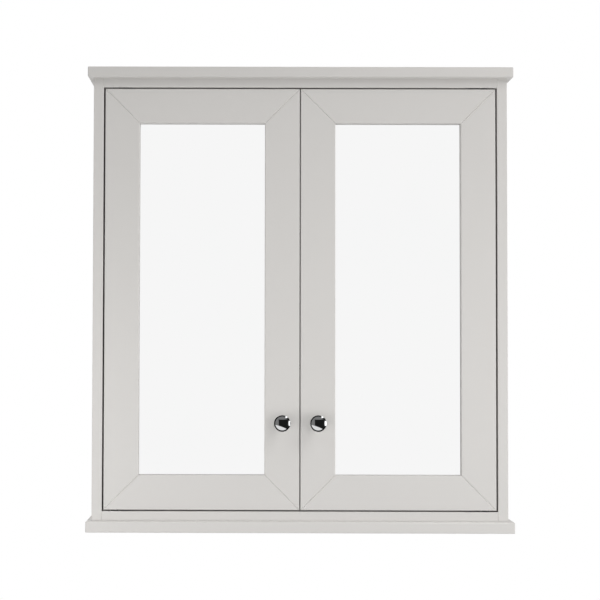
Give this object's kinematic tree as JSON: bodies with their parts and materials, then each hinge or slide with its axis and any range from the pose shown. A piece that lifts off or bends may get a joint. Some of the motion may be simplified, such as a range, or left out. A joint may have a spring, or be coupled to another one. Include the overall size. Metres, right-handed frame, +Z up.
{
  "type": "mirrored bathroom cabinet",
  "caption": "Painted wall cabinet with inset mirrored doors on concealed pivots, round knobs, overhanging top and base boards and glass shelves inside.",
  "frame": {"origin": "on the wall plane, at the centre of the four wall screw holes", "axes": "+X to the right seen from the front, +Y into the wall, +Z up"},
  "size_m": [0.637, 0.183, 0.695],
  "materials": {
    "painted_timber": "satin painted timber",
    "bare_timber": "planed softwood",
    "beech_dowel": "fluted beech",
    "hardboard": "pressed hardboard",
    "silvered_mirror": "polished mirror glass",
    "shelf_glass": "polished float glass",
    "chrome_knob": "polished chrome",
    "zinc_steel": "bright zinc plate",
    "magnet_steel": "dull steel",
    "white_plastic": "moulded plastic",
    "nylon": "black nylon"
  },
  "bodies": {
    "case": {"back_panel": "painted_timber", "base_board": "painted_timber", "base_board_screws": "zinc_steel", "bottom_panel": "painted_timber", "carcass_dowels": "beech_dowel", "catch_housing": "white_plastic", "catch_magnets": "magnet_steel", "catch_screws": "zinc_steel", "left_lower_pivot_plate": "zinc_steel", "left_side_panel": "painted_timber", "left_upper_pivot_plate": "zinc_steel", "lower_hanging_rail": "bare_timber", "lower_pivot_plate_screws": "zinc_steel", "lower_shelf": "shelf_glass", "pivot_washers": "nylon", "right_lower_pivot_plate": "zinc_steel", "right_side_panel": "painted_timber", "right_upper_pivot_plate": "zinc_steel", "shelf_pins": "zinc_steel", "top_board": "painted_timber", "top_board_screws": "zinc_steel", "top_panel": "painted_timber", "upper_hanging_rail": "bare_timber", "upper_pivot_plate_screws": "zinc_steel", "upper_shelf": "shelf_glass"},
    "left_door": {"left_bottom_rail": "painted_timber", "left_hinge_stile": "painted_timber", "left_knob": "chrome_knob", "left_knob_screw": "zinc_steel", "left_lower_pivot_socket": "zinc_steel", "left_meeting_stile": "painted_timber", "left_mirror": "silvered_mirror", "left_mirror_backing": "hardboard", "left_mirror_beads": "painted_timber", "left_mitre_dowels": "beech_dowel", "left_pivot_socket_screws": "zinc_steel", "left_strike_plate": "zinc_steel", "left_strike_screw": "zinc_steel", "left_top_rail": "painted_timber", "left_upper_pivot_socket": "zinc_steel"},
    "right_door": {"right_bottom_rail": "painted_timber", "right_hinge_stile": "painted_timber", "right_knob": "chrome_knob", "right_knob_screw": "zinc_steel", "right_lower_pivot_socket": "zinc_steel", "right_meeting_stile": "painted_timber", "right_mirror": "silvered_mirror", "right_mirror_backing": "hardboard", "right_mirror_beads": "painted_timber", "right_mitre_dowels": "beech_dowel", "right_pivot_socket_screws": "zinc_steel", "right_strike_plate": "zinc_steel", "right_strike_screw": "zinc_steel", "right_top_rail": "painted_timber", "right_upper_pivot_socket": "zinc_steel"}
  },
  "joints": [
    {"name": "left_door_swing", "type": "hinge", "parent": "case", "child": "left_door", "pos_m": [-0.2765, -0.152, 0], "axis": [0, 0, -1], "range_deg": [0, 110]},
    {"name": "right_door_swing", "type": "hinge", "parent": "case", "child": "right_door", "pos_m": [0.2765, -0.152, 0], "axis": [0, 0, 1], "range_deg": [0, 110]}
  ]
}
